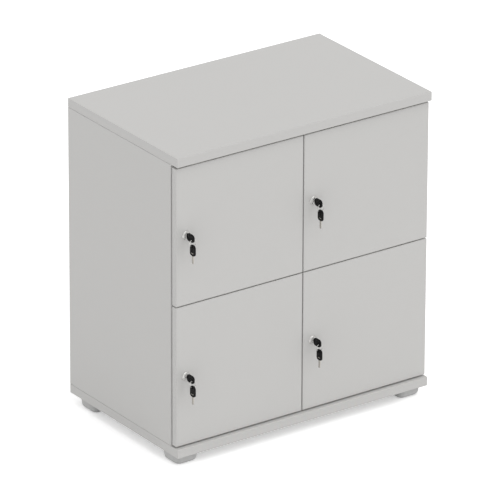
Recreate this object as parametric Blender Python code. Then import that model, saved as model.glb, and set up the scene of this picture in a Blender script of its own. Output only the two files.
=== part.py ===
"""Four-door locker of melamine-faced board: two columns of two lockers on a base
with plastic feet. Each door hangs on two concealed hinges and has a cam lock, whose
key carries a ring with the spare key. Metres, +Z up, front towards -Y. The origin
is on the floor, below the middle of the whole outline."""

import math

import bmesh
import bpy
from mathutils import Matrix, Vector

for old in list(bpy.data.objects):
    bpy.data.objects.remove(old)

# Carcass boards
BODY_WIDTH = 0.800
BODY_DEPTH = 0.500
TOP_THICKNESS = 0.025
BASE_THICKNESS = 0.025
OPENING_HEIGHT = 0.787
SIDE_THICKNESS = 0.018
PARTITION_THICKNESS = 0.018
SHELF_THICKNESS = 0.018
BACK_THICKNESS = 0.008
BACK_INSET = 0.010
GROOVE_DEPTH = 0.008
FIT = 0.0003

# Edge rounding: the edge bands of the boards that show, and a broken edge inside
BAND_RADIUS = 0.0012
INNER_RADIUS = 0.0008

# Feet
FOOT_HEIGHT = 0.030
FOOT_TOP_WIDTH = 0.076
FOOT_TAPER = 0.0023
FOOT_CORNER_RADIUS = 0.022
FOOT_SOLE_RADIUS = 0.014
FOOT_SIDE_INSET = 0.0435
FOOT_FRONT_INSET = 0.0515
FOOT_REAR_INSET = 0.0655
FOOT_SCREW_RADIUS = 0.006
FOOT_SCREW_DEPTH = 0.022

# Doors
DOOR_THICKNESS = 0.018
DOOR_SETBACK = 0.010
DOOR_REAR_GAP = 0.003
DOOR_SIDE_REVEAL = 0.002
DOOR_MIDDLE_GAP = 0.003
DOOR_BASE_GAP = 0.004
DOOR_ROW_GAP = 0.003
DOOR_TOP_GAP = 0.007
LOWER_DOOR_HEIGHT = 0.391

# Concealed hinges: a cup let into the door, a goose-neck arm and its plate
HINGE_END_INSET = 0.080
PIN_EDGE_INSET = 0.0085
PIN_FACE_INSET = 0.00825
PIN_RADIUS = 0.0014
PIN_CLEARANCE = 0.0002
KNUCKLE_WALL = 0.0010
CUP_RADIUS = 0.0175
CUP_WALL = 0.0013
CUP_FLOOR = 0.0008
CUP_EDGE_DISTANCE = 0.003
CUP_SWING_CLEARANCE = 0.0003
CUP_FLANGE_THICKNESS = 0.0009
CUP_FLANGE_MARGIN = 0.0005
CUP_SCREW_SPACING = 0.048
CUP_EAR_RADIUS = 0.0055
CUP_SCREW_HOLE_RADIUS = 0.0021
ARM_THICKNESS = 0.002
ARM_WIDTH = 0.012
ARM_BEND_RADIUS = 0.004
ARM_NECK_LENGTH = 0.018
ARM_CRANK_LENGTH = 0.010
ARM_LENGTH = 0.066
ARM_SLOT_WIDTH = 0.0045
ARM_SLOT_LENGTH = 0.010
ARM_SLOT_END_INSET = 0.006
PLATE_HEIGHT = 0.0082
PLATE_WING_THICKNESS = 0.0025
PLATE_RIB_WIDTH = 0.011
PLATE_RIB_LENGTH = 0.038
PLATE_SCREW_SETBACK = 0.037
PLATE_SCREW_SPACING = 0.032
PLATE_EAR_RADIUS = 0.0075
PLATE_HOLE_RADIUS = 0.0026
PLATE_EDGE_RADIUS = 0.0010

# Cam locks
LOCK_EDGE_INSET = 0.0305
LOCK_HEIGHT = 0.194
ROSETTE_RADIUS = 0.012
ROSETTE_RIM = 0.0022
ROSETTE_PROJECTION = 0.006
ROSETTE_FACE_RADIUS = 0.0105
FACE_RECESS = 0.0005
BARREL_RADIUS = 0.009
BARREL_FLAT_WIDTH = 0.016
BARREL_REAR = 0.012
NUT_WIDTH = 0.022
NUT_THICKNESS = 0.004
PLUG_RADIUS = 0.0063
PLUG_TAIL = 0.001
KEYWAY_WIDTH = 0.0026
KEYWAY_HEIGHT = 0.0078
KEYWAY_DEPTH = 0.024
CAM_REACH = 0.027
CAM_WIDTH = 0.014
CAM_THICKNESS = 0.002
CAM_TAIL_RADIUS = 0.0085
CAM_TIP_RADIUS = 0.0025
SLOT_MARGIN = 0.0010

# Keys and ring
KEY_STANDOFF = 0.0015
HEAD_LENGTH = 0.030
HEAD_WIDTH = 0.021
HEAD_THICKNESS = 0.005
HEAD_RING_END_RADIUS = 0.0085
HEAD_BLADE_END_RADIUS = 0.007
HEAD_EDGE_RADIUS = 0.0010
KEY_HOLE_RADIUS = 0.0026
KEY_HOLE_INSET = 0.0055
BLADE_LENGTH = 0.022
BLADE_WIDTH = 0.0070
BLADE_THICKNESS = 0.0020
BLADE_ROOT = 0.004
BLADE_TIP_LENGTH = 0.002
BLADE_CUT_DEPTHS = (0.0012, 0.0020, 0.0008, 0.0016)
BLADE_CUT_PITCH = 0.0038
BLADE_CUT_WIDTH = 0.0024
RING_RADIUS = 0.0097
RING_WIRE_RADIUS = 0.0009

# Overrun of a cutter past the faces that it opens
OVERRUN = 0.002

# Facets of round work
FINE_STEPS = 20
ROUND_STEPS = 18
SMALL_STEPS = 10
PIN_STEPS = 8
FLANGE_STEPS = 3
WIRE_STEPS = 6
CORNER_STEPS = 3
EDGE_STEPS = 3
FOOT_STEPS = 5
HEAD_STEPS = 4
SMOOTH_ANGLE = math.radians(35)
ROUND_PROFILE_SHARE = 0.5
SMALLEST_SHARE = 0.001


# Heights of the boards, and the plan of the doors, from the sizes above
base_top = FOOT_HEIGHT + BASE_THICKNESS
top_underside = base_top + OPENING_HEIGHT
lower_door_base = base_top + DOOR_BASE_GAP
upper_door_base = lower_door_base + LOWER_DOOR_HEIGHT + DOOR_ROW_GAP
upper_door_height = top_underside - DOOR_TOP_GAP - upper_door_base
shelf_low = upper_door_base - (DOOR_ROW_GAP + SHELF_THICKNESS) / 2
lower_lock = lower_door_base + LOCK_HEIGHT
upper_lock = upper_door_base + LOCK_HEIGHT
door_width = BODY_WIDTH / 2 - DOOR_SIDE_REVEAL - DOOR_MIDDLE_GAP / 2

# The ring's wire rests on the rim of the key's hole, and the spare hangs below it
ring_sag = RING_RADIUS - math.sqrt(RING_RADIUS**2 - (HEAD_THICKNESS / 2) ** 2)
wire_offset = KEY_HOLE_RADIUS - RING_WIRE_RADIUS - FIT - ring_sag
key_shoulder = ROSETTE_PROJECTION - FACE_RECESS + KEY_STANDOFF
key_hole_reach = key_shoulder + HEAD_LENGTH - KEY_HOLE_INSET
front_reach = key_hole_reach + HEAD_WIDTH / 2 - DOOR_SETBACK

board_front = -(BODY_DEPTH + front_reach) / 2 + front_reach
board_back = board_front + BODY_DEPTH
door_front = board_front + DOOR_SETBACK
carcass_front = door_front + DOOR_THICKNESS + DOOR_REAR_GAP
back_front = board_back - BACK_INSET - BACK_THICKNESS

# The pin's place from the panel's face that carries the arm, and the arm's reach
side_overlay = SIDE_THICKNESS - DOOR_SIDE_REVEAL
partition_overlay = (PARTITION_THICKNESS - DOOR_MIDDLE_GAP) / 2
arm_crank = side_overlay - partition_overlay
arm_reach = side_overlay - PIN_EDGE_INSET + PLATE_HEIGHT + FIT + ARM_THICKNESS / 2
knuckle_bore = PIN_RADIUS + PIN_CLEARANCE
knuckle_radius = knuckle_bore + KNUCKLE_WALL
cup_bore = CUP_RADIUS - CUP_WALL
cup_centre = PIN_EDGE_INSET - CUP_EDGE_DISTANCE - CUP_RADIUS
cup_inside = -knuckle_radius - CUP_SWING_CLEARANCE
cup_outside = cup_inside - CUP_FLOOR
door_inner_face = DOOR_THICKNESS - PIN_FACE_INSET


def mesh_from(name, bm):
    """Mesh of a finished bmesh, with its faces turned outwards."""
    bmesh.ops.recalc_face_normals(bm, faces=bm.faces)
    if bm.calc_volume(signed=True) < 0:
        bmesh.ops.reverse_faces(bm, faces=bm.faces)
    mesh = bpy.data.meshes.new(name)
    bm.to_mesh(mesh)
    bm.free()
    return mesh


def box(name, low, high, radius=0.0, steps=EDGE_STEPS):
    """Board or block between two corners, its edges rounded to the radius."""
    bm = bmesh.new()
    bmesh.ops.create_cube(bm, size=1.0)
    middle = (Vector(low) + Vector(high)) / 2
    span = Vector(high) - Vector(low)
    bmesh.ops.scale(bm, vec=span, verts=bm.verts)
    bmesh.ops.translate(bm, vec=middle, verts=bm.verts)
    if radius:
        bmesh.ops.bevel(bm, geom=bm.edges[:], offset=radius, segments=steps,
                        profile=ROUND_PROFILE_SHARE, affect="EDGES")
    return mesh_from(name, bm)


def rounded(corners, steps=CORNER_STEPS):
    """Outline through (x, y, radius) corners, each with a radius turned into an arc."""
    points = []
    for index, (x, y, radius) in enumerate(corners):
        here = Vector((x, y))
        if not radius:
            points.append(here)
            continue
        before = Vector(corners[index - 1][:2])
        after = Vector(corners[(index + 1) % len(corners)][:2])
        inwards = (before - here).normalized()
        outwards = (after - here).normalized()
        half_angle = inwards.angle(outwards) / 2
        centre = here + (inwards + outwards).normalized() * (radius / math.sin(half_angle))
        start = here + inwards * (radius / math.tan(half_angle)) - centre
        end = here + outwards * (radius / math.tan(half_angle)) - centre
        sweep = start.angle_signed(end)
        for step in range(steps + 1):
            points.append(centre + start @ Matrix.Rotation(sweep * step / steps, 2))
    return [point for index, point in enumerate(points) if (point - points[index - 1]).length > FIT / 10]


def circle(radius, steps, centre=(0.0, 0.0)):
    """Outline of a round piece."""
    middle = Vector(centre)
    turns = [2 * math.pi * step / steps for step in range(steps)]
    return [middle + Vector((radius * math.cos(turn), radius * math.sin(turn))) for turn in turns]


def lozenge(middle_radius, end_radius, spacing, steps):
    """Outline around a large middle circle and two small end circles spaced along Y."""
    tangent = math.asin((middle_radius - end_radius) * 2 / spacing)
    points = []
    for centre, radius, start in (
        (0.0, middle_radius, -tangent),
        (spacing / 2, end_radius, tangent),
        (0.0, middle_radius, math.pi - tangent),
        (-spacing / 2, end_radius, math.pi + tangent),
    ):
        sweep = 2 * tangent if centre == 0.0 else math.pi - 2 * tangent
        for step in range(steps + 1):
            turn = start + sweep * step / steps
            points.append(Vector((radius * math.cos(turn), centre + radius * math.sin(turn))))
    return points


def prism(name, outline, low, high, placing=None):
    """Outline in XY drawn out along Z, then turned and moved by the placing matrix."""
    bm = bmesh.new()
    face = bm.faces.new([bm.verts.new((point[0], point[1], low)) for point in outline])
    drawn = bmesh.ops.extrude_face_region(bm, geom=[face])
    raised = [item for item in drawn["geom"] if isinstance(item, bmesh.types.BMVert)]
    bmesh.ops.translate(bm, vec=(0.0, 0.0, high - low), verts=raised)
    if placing:
        bm.transform(placing)
    return mesh_from(name, bm)


def turned(name, profile, steps, placing=None):
    """Profile of (radius, height) points, from axis to axis, turned about Z."""
    bm = bmesh.new()
    rim = [bm.verts.new((radius, 0.0, height)) for radius, height in profile]
    edges = [bm.edges.new(pair) for pair in zip(rim, rim[1:])]
    bmesh.ops.spin(
        bm, geom=rim + edges, cent=(0.0, 0.0, 0.0), axis=(0.0, 0.0, 1.0), angle=2 * math.pi, steps=steps
    )
    bmesh.ops.remove_doubles(bm, verts=bm.verts, dist=FIT / 10)
    if placing:
        bm.transform(placing)
    return mesh_from(name, bm)


def combined(name, mesh, steps):
    """Mesh after a chain of (operation, tool mesh) Booleans."""
    body = bpy.data.objects.new(name, mesh)
    bpy.context.scene.collection.objects.link(body)
    tools = []
    for operation, tool_mesh in steps:
        tool = bpy.data.objects.new(name + "_tool", tool_mesh)
        bpy.context.scene.collection.objects.link(tool)
        tools.append(tool)
        modifier = body.modifiers.new(operation.lower(), "BOOLEAN")
        modifier.operation = operation
        modifier.solver = "EXACT"
        modifier.object = tool
    depsgraph = bpy.context.evaluated_depsgraph_get()
    result = bpy.data.meshes.new_from_object(body.evaluated_get(depsgraph), depsgraph=depsgraph)
    result.name = name
    for item in tools + [body]:
        bpy.data.objects.remove(item)
    return result


def material(name, colour, roughness, metallic=0.0):
    """Material of one sub-part."""
    made = bpy.data.materials.new(name)
    made.use_nodes = True
    shader = made.node_tree.nodes["Principled BSDF"]
    shader.inputs["Base Color"].default_value = (*colour, 1.0)
    shader.inputs["Roughness"].default_value = roughness
    shader.inputs["Metallic"].default_value = metallic
    return made


def axis(name, place, parent=None):
    """Empty on a joint's axis, at a place in the world."""
    empty = bpy.data.objects.new(name, None)
    bpy.context.scene.collection.objects.link(empty)
    return put(empty, place, parent)


def put(item, place, parent=None):
    """Place an object by its world position, also under a parent that is not turned."""
    item.location = Vector(place)
    if parent:
        item.parent = parent
        above = parent
        while above:
            item.location -= above.location
            above = above.parent
    return item


def piece(name, mesh, look, place=(0.0, 0.0, 0.0), parent=None, turn=None):
    """One sub-part: its own object and material, placed in the world."""
    item = bpy.data.objects.new(name, mesh)
    bpy.context.scene.collection.objects.link(item)
    if not mesh.materials:
        mesh.materials.append(None)
    mesh.shade_smooth()
    mesh.set_sharp_from_angle(angle=SMOOTH_ANGLE)
    item.material_slots[0].link = "OBJECT"
    item.material_slots[0].material = material(name, *look)
    if turn:
        item.rotation_euler = turn
    return put(item, place, parent)


# Axes of turned and drawn work: Z of the outline laid along +Y
ALONG_Y = Matrix.Rotation(-math.pi / 2, 4, "X")

# Looks: colour, roughness, metallic
BOARD_LOOK = ((0.55, 0.545, 0.535), 0.5)
FOOT_LOOK = ((0.47, 0.47, 0.465), 0.5)
NICKEL_LOOK = ((0.78, 0.77, 0.75), 0.22, 1.0)
STEEL_LOOK = ((0.62, 0.61, 0.59), 0.35, 1.0)
KEY_LOOK = ((0.016, 0.016, 0.017), 0.4)


def slotted_panel(name, low, high, slot_side, slots):
    """Upright board with milled slots for the lock cams, each a (height, depth)."""
    tools = []
    for height, depth in slots:
        face = high[0] if slot_side > 0 else low[0]
        inner = face - slot_side * depth
        cam_rear = door_front + DOOR_THICKNESS + BARREL_REAR + PLUG_TAIL
        outer = face + slot_side * OVERRUN
        slot_low = (min(inner, outer), cam_rear - SLOT_MARGIN, height - CAM_REACH - SLOT_MARGIN)
        slot_high = (
            max(inner, outer),
            cam_rear + CAM_THICKNESS + SLOT_MARGIN,
            height + CAM_WIDTH / 2 + SLOT_MARGIN,
        )
        tools.append(("DIFFERENCE", box(name + "_slot", slot_low, slot_high)))
    return combined(name, box(name, low, high, INNER_RADIUS, 1), tools)


def grooved(name, mesh, inner_face, side):
    """Groove for the back panel along an upright board's inner face."""
    reach = inner_face - side * GROOVE_DEPTH
    groove = box(
        name + "_groove",
        (min(reach, inner_face + side * OVERRUN), back_front - FIT, base_top - OVERRUN),
        (max(reach, inner_face + side * OVERRUN), back_front + BACK_THICKNESS + FIT, top_underside + OVERRUN),
    )
    return combined(name, mesh, [("DIFFERENCE", groove)])


def carcass():
    """Top, base, sides, partition, shelves and back."""
    half = BODY_WIDTH / 2
    inner = half - SIDE_THICKNESS
    centre = PARTITION_THICKNESS / 2
    lower = base_top + FIT
    upper = top_underside - FIT
    top = box("top_panel", (-half, board_front, top_underside),
              (half, board_back, top_underside + TOP_THICKNESS), BAND_RADIUS)
    base = box("base_panel", (-half, board_front, FOOT_HEIGHT), (half, board_back, base_top), BAND_RADIUS)
    piece("top_panel", top, BOARD_LOOK)
    piece("base_panel", base, BOARD_LOOK)

    side_slot = LOCK_EDGE_INSET - side_overlay
    side_depth = math.hypot(CAM_REACH, CAM_WIDTH / 2) - side_slot + SLOT_MARGIN
    partition_slot = LOCK_EDGE_INSET - partition_overlay
    partition_depth = math.hypot(CAM_REACH, CAM_WIDTH / 2) - partition_slot + SLOT_MARGIN
    left = slotted_panel("left_side_panel", (-half, carcass_front, lower), (-inner, board_back, upper), 1,
                         [(lower_lock, side_depth), (upper_lock, side_depth)])
    piece("left_side_panel", grooved("left_side_panel", left, -inner, 1), BOARD_LOOK)
    right = box("right_side_panel", (inner, carcass_front, lower), (half, board_back, upper), INNER_RADIUS, 1)
    piece("right_side_panel", grooved("right_side_panel", right, inner, -1), BOARD_LOOK)
    middle = slotted_panel("centre_partition", (-centre, carcass_front, lower),
                           (centre, back_front - FIT, upper), 1,
                           [(lower_lock, partition_depth), (upper_lock, partition_depth)])
    piece("centre_partition", middle, BOARD_LOOK)

    for name, low, high in (
        ("left_shelf", -inner + FIT, -centre - FIT),
        ("right_shelf", centre + FIT, inner - FIT),
    ):
        shelf = box(name, (low, carcass_front, shelf_low),
                    (high, back_front - FIT, shelf_low + SHELF_THICKNESS), INNER_RADIUS, 1)
        piece(name, shelf, BOARD_LOOK)
    back_edge = inner + GROOVE_DEPTH - FIT
    back = box("back_panel", (-back_edge, back_front, lower), (back_edge, back_front + BACK_THICKNESS, upper))
    piece("back_panel", back, BOARD_LOOK)


def foot_mesh():
    """Square foot with round corners, a slight taper, a broadly rounded sole and a screw hole in it."""
    bm = bmesh.new()
    half_top = FOOT_TOP_WIDTH / 2
    sections = [(half_top, FOOT_HEIGHT - FIT)]
    for step in range(FOOT_STEPS + 1):
        turn = math.pi / 2 * step / FOOT_STEPS
        half = half_top - FOOT_TAPER - FOOT_SOLE_RADIUS * (1 - math.cos(turn))
        sections.append((half, FOOT_SOLE_RADIUS * (1 - math.sin(turn))))
    rings = []
    for half, height in sections:
        radius = FOOT_CORNER_RADIUS - (half_top - half)
        corners = [(half, half, radius), (-half, half, radius), (-half, -half, radius), (half, -half, radius)]
        ring = [bm.verts.new((point.x, point.y, height)) for point in rounded(corners, FOOT_STEPS)]
        rings.append([bm.edges.new((a, b)) for a, b in zip(ring, ring[1:] + ring[:1])])
    for above, below in zip(rings, rings[1:]):
        bmesh.ops.bridge_loops(bm, edges=above + below)
    bmesh.ops.contextual_create(bm, geom=rings[0])
    bmesh.ops.contextual_create(bm, geom=rings[-1])
    hole = prism("foot_hole", circle(FOOT_SCREW_RADIUS, SMALL_STEPS), -OVERRUN, FOOT_SCREW_DEPTH)
    return combined("foot", mesh_from("foot", bm), [("DIFFERENCE", hole)])


def feet():
    """Four feet under the base."""
    mesh = foot_mesh()
    across = BODY_WIDTH / 2 - FOOT_SIDE_INSET
    front = board_front + FOOT_FRONT_INSET
    rear = board_back - FOOT_REAR_INSET
    for depth_name, depth in (("front", front), ("rear", rear)):
        for side_name, side in (("left", -1), ("right", 1)):
            piece(f"foot_{depth_name}_{side_name}", mesh, FOOT_LOOK, (side * across, depth, 0.0))


def door_mesh(name, height, hinge_heights, lock_height):
    """Door leaf about its hinge pin, bored for the hinge cups and the lock."""
    low = (PIN_EDGE_INSET - door_width, -PIN_FACE_INSET, -height / 2)
    high = (PIN_EDGE_INSET, door_inner_face, height / 2)
    tools = []
    for hinge_height in hinge_heights:
        boring = prism("cup_boring", circle(CUP_RADIUS + FIT, FINE_STEPS), cup_outside - FIT,
                       door_inner_face + OVERRUN, ALONG_Y)
        boring.transform(Matrix.Translation((cup_centre, 0.0, hinge_height)))
        tools.append(("DIFFERENCE", boring))
    lock_hole = prism("lock_boring", circle(BARREL_RADIUS + FIT, ROUND_STEPS), -PIN_FACE_INSET - OVERRUN,
                      door_inner_face + OVERRUN, ALONG_Y)
    lock_hole.transform(Matrix.Translation((low[0] + LOCK_EDGE_INSET, 0.0, lock_height)))
    tools.append(("DIFFERENCE", lock_hole))
    return combined(name, box(name, low, high, BAND_RADIUS), tools)


def cup_mesh():
    """Pressed cup with its flange, two screw ears and the pin across its mouth, about the pin."""
    flange_low = door_inner_face + FIT
    flange_high = flange_low + CUP_FLANGE_THICKNESS
    seat = Matrix.Translation((cup_centre, 0.0, 0.0)) @ ALONG_Y
    shell = turned("cup", [
        (0.0, cup_outside),
        (CUP_RADIUS - CUP_WALL, cup_outside),
        (CUP_RADIUS, cup_outside + CUP_WALL),
        (CUP_RADIUS, flange_low + CUP_FLANGE_THICKNESS / 2),
        (0.0, flange_low + CUP_FLANGE_THICKNESS / 2),
    ], FINE_STEPS, seat)
    flange_outline = lozenge(CUP_RADIUS + CUP_FLANGE_MARGIN, CUP_EAR_RADIUS, CUP_SCREW_SPACING, FLANGE_STEPS)
    flange = prism("flange", flange_outline, flange_low, flange_high, seat)
    cavity = prism("cavity", circle(cup_bore, FINE_STEPS), cup_inside, flange_high + OVERRUN, seat)
    steps = [("UNION", flange), ("DIFFERENCE", cavity)]
    for side in (-1, 1):
        outline = circle(CUP_SCREW_HOLE_RADIUS, WIRE_STEPS, (0.0, side * CUP_SCREW_SPACING / 2))
        hole = prism("ear_hole", outline, flange_low - OVERRUN, flange_high + OVERRUN, seat)
        steps.append(("DIFFERENCE", hole))
    pin = prism("pin", circle(PIN_RADIUS, PIN_STEPS), -CUP_RADIUS, CUP_RADIUS)
    wall_middle = circle(cup_bore + CUP_WALL / 2, FINE_STEPS)
    ends = prism("pin_ends", wall_middle, cup_outside, flange_high, seat)
    steps.append(("UNION", combined("pin", pin, [("INTERSECT", ends)])))
    return combined("hinge_cup", shell, steps)


def arm_mesh(name, crank):
    """Goose-neck arm about the pin: knuckle, neck inside the cup, crank and slotted tail."""
    half = ARM_THICKNESS / 2
    bend = ARM_BEND_RADIUS
    tail = -arm_reach + crank
    crank_start = ARM_NECK_LENGTH
    crank_end = ARM_NECK_LENGTH + ARM_CRANK_LENGTH
    outline = rounded([
        (0.0, half, 0.0),
        (-arm_reach + half, half, bend - half),
        (-arm_reach + half, crank_start, bend if crank else 0.0),
        (tail + half, crank_end, bend if crank else 0.0),
        (tail + half, ARM_LENGTH, 0.0),
        (tail - half, ARM_LENGTH, 0.0),
        (tail - half, crank_end, bend if crank else 0.0),
        (-arm_reach - half, crank_start, bend if crank else 0.0),
        (-arm_reach - half, -half, bend + half),
        (0.0, -half, 0.0),
    ])
    arm = prism(name, outline, -ARM_WIDTH / 2, ARM_WIDTH / 2)
    knuckle = prism("knuckle", circle(knuckle_radius, SMALL_STEPS), -ARM_WIDTH / 2, ARM_WIDTH / 2)
    bore = prism("bore", circle(knuckle_bore, SMALL_STEPS), -ARM_WIDTH, ARM_WIDTH)
    slot_end = ARM_LENGTH - ARM_SLOT_END_INSET
    slot = box("slot", (tail - ARM_THICKNESS, slot_end - ARM_SLOT_LENGTH, -ARM_SLOT_WIDTH / 2),
               (tail + ARM_THICKNESS, slot_end, ARM_SLOT_WIDTH / 2))
    return combined(name, arm, [("UNION", knuckle), ("DIFFERENCE", bore), ("DIFFERENCE", slot)])


def plate_mesh():
    """Cross plate that carries the arm: a rib on two screwed wings, origin between its screws."""
    wing_reach = PLATE_SCREW_SPACING / 2 + PLATE_EAR_RADIUS
    wings = prism("wings", rounded([
        (wing_reach, PLATE_EAR_RADIUS, PLATE_EAR_RADIUS),
        (-wing_reach, PLATE_EAR_RADIUS, PLATE_EAR_RADIUS),
        (-wing_reach, -PLATE_EAR_RADIUS, PLATE_EAR_RADIUS),
        (wing_reach, -PLATE_EAR_RADIUS, PLATE_EAR_RADIUS),
    ]), FIT, PLATE_WING_THICKNESS)
    rib = box("rib", (-PLATE_RIB_WIDTH / 2, -PLATE_RIB_LENGTH / 2, FIT),
              (PLATE_RIB_WIDTH / 2, PLATE_RIB_LENGTH / 2, PLATE_HEIGHT), PLATE_EDGE_RADIUS, 1)
    steps = [("UNION", rib)]
    for side in (-1, 1):
        outline = circle(PLATE_HOLE_RADIUS, WIRE_STEPS, (side * PLATE_SCREW_SPACING / 2, 0.0))
        hole = prism("plate_hole", outline, -OVERRUN, PLATE_WING_THICKNESS + OVERRUN)
        steps.append(("DIFFERENCE", hole))
    mesh = combined("hinge_plate", wings, steps)
    face_left = Matrix.Rotation(-math.pi / 2, 4, "Y")
    mesh.transform(face_left)
    return mesh


def housing_mesh():
    """Lock housing about the door's front face: rosette, barrel with two flats, and its nut."""
    barrel_end = DOOR_THICKNESS + BARREL_REAR
    nut_low = DOOR_THICKNESS + FIT
    nut_high = nut_low + NUT_THICKNESS
    turns = [2 * math.pi * step / ROUND_STEPS for step in range(ROUND_STEPS)]
    bore = [PLUG_RADIUS + FIT for turn in turns]
    rim = [ROSETTE_RADIUS for turn in turns]
    barrel = [min(BARREL_RADIUS, BARREL_FLAT_WIDTH / 2 / max(abs(math.cos(turn)), SMALLEST_SHARE))
              for turn in turns]
    nut = [NUT_WIDTH / 2 / math.cos(turn % (math.pi / 3) - math.pi / 6) for turn in turns]
    bm = bmesh.new()
    rings = []
    for radii, height in (
        (bore, -ROSETTE_PROJECTION),
        ([ROSETTE_FACE_RADIUS for turn in turns], -ROSETTE_PROJECTION),
        (rim, -ROSETTE_RIM),
        (rim, -FIT),
        (barrel, -FIT),
        (barrel, nut_low),
        (nut, nut_low),
        (nut, nut_high),
        (barrel, nut_high),
        (barrel, barrel_end),
        (bore, barrel_end),
    ):
        rings.append([bm.verts.new((radius * math.cos(turn), height, radius * math.sin(turn)))
                      for turn, radius in zip(turns, radii)])
    for ring, following in zip(rings, rings[1:] + rings[:1]):
        for step in range(ROUND_STEPS):
            bm.faces.new((ring[step - 1], ring[step], following[step], following[step - 1]))
    return mesh_from("lock_housing", bm)


def plug_mesh():
    """Lock plug with its keyway and the cam on its rear end, about the door's front face."""
    face = -ROSETTE_PROJECTION + FACE_RECESS
    tail = DOOR_THICKNESS + BARREL_REAR + PLUG_TAIL
    plug = prism("plug", circle(PLUG_RADIUS, ROUND_STEPS), face, tail + CAM_THICKNESS / 2, ALONG_Y)
    cam = prism("cam", rounded([
        (CAM_WIDTH / 2, CAM_TAIL_RADIUS, CAM_WIDTH / 2),
        (-CAM_WIDTH / 2, CAM_TAIL_RADIUS, CAM_WIDTH / 2),
        (-CAM_WIDTH / 2, -CAM_REACH, CAM_TIP_RADIUS),
        (CAM_WIDTH / 2, -CAM_REACH, CAM_TIP_RADIUS),
    ]), -CAM_THICKNESS, 0.0, Matrix.Rotation(math.pi / 2, 4, "X"))
    cam.transform(Matrix.Translation((0.0, tail, 0.0)))
    keyway = box("keyway", (-KEYWAY_WIDTH / 2, face - OVERRUN, -KEYWAY_HEIGHT / 2),
                 (KEYWAY_WIDTH / 2, face + KEYWAY_DEPTH, KEYWAY_HEIGHT / 2))
    return combined("lock_plug", plug, [("UNION", cam), ("DIFFERENCE", keyway)])


def key_mesh():
    """Key with a moulded head and a cut blade. The origin is the hole's centre, the head's end at -Y."""
    shoulder = HEAD_LENGTH - KEY_HOLE_INSET
    end = -KEY_HOLE_INSET
    half = HEAD_WIDTH / 2
    lay = Matrix.Rotation(math.pi / 2, 4, "Y")
    outline = rounded([
        (-half, end, HEAD_RING_END_RADIUS),
        (half, end, HEAD_RING_END_RADIUS),
        (half, shoulder, HEAD_BLADE_END_RADIUS),
        (-half, shoulder, HEAD_BLADE_END_RADIUS),
    ], HEAD_STEPS)
    head = prism("head", outline, -HEAD_THICKNESS / 2, HEAD_THICKNESS / 2, lay)
    bm = bmesh.new()
    bm.from_mesh(head)
    broad = [face for face in bm.faces if abs(face.normal.x) > abs(face.normal.y) + abs(face.normal.z)]
    rims = [edge for face in broad for edge in face.edges]
    bmesh.ops.bevel(bm, geom=rims, offset=HEAD_EDGE_RADIUS, segments=1,
                    profile=ROUND_PROFILE_SHARE, affect="EDGES")
    head = mesh_from("head", bm)

    tip = shoulder + BLADE_LENGTH
    blade_half = BLADE_WIDTH / 2
    edge = [(-blade_half, shoulder - BLADE_ROOT), (blade_half, shoulder - BLADE_ROOT)]
    cut_start = tip - BLADE_TIP_LENGTH - len(BLADE_CUT_DEPTHS) * BLADE_CUT_PITCH
    for index, depth in enumerate(BLADE_CUT_DEPTHS):
        start = cut_start + index * BLADE_CUT_PITCH
        edge.append((blade_half, start))
        edge.append((blade_half - depth, start + BLADE_CUT_WIDTH / 2))
        edge.append((blade_half, start + BLADE_CUT_WIDTH))
    edge += [(blade_half, tip - BLADE_TIP_LENGTH), (blade_half - BLADE_TIP_LENGTH, tip)]
    edge += [(-blade_half + BLADE_TIP_LENGTH, tip), (-blade_half, tip - BLADE_TIP_LENGTH)]
    blade = prism("blade", edge, -BLADE_THICKNESS / 2, BLADE_THICKNESS / 2, lay)
    hole = prism("key_hole", circle(KEY_HOLE_RADIUS, SMALL_STEPS), -HEAD_THICKNESS, HEAD_THICKNESS, lay)
    return combined("key", head, [("UNION", blade), ("DIFFERENCE", hole)])


def ring_mesh():
    """Key ring hanging in the XZ plane, origin in its wire at the top."""
    bm = bmesh.new()
    wire = bmesh.ops.create_circle(bm, radius=RING_WIRE_RADIUS, segments=WIRE_STEPS, cap_ends=False)
    bmesh.ops.translate(bm, vec=(RING_RADIUS, 0.0, 0.0), verts=wire["verts"])
    bm.transform(Matrix.Rotation(math.pi / 2, 4, "Y") @ Matrix.Rotation(math.pi / 2, 4, "X"))
    bm.transform(Matrix.Rotation(math.pi / 2, 4, "Z"))
    bmesh.ops.spin(bm, geom=bm.verts[:] + bm.edges[:], cent=(0.0, 0.0, 0.0), axis=(0.0, 1.0, 0.0),
                   angle=2 * math.pi, steps=ROUND_STEPS)
    bmesh.ops.remove_doubles(bm, verts=bm.verts, dist=FIT / 10)
    bmesh.ops.translate(bm, vec=(0.0, 0.0, -RING_RADIUS), verts=bm.verts)
    return mesh_from("key_ring", bm)


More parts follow.
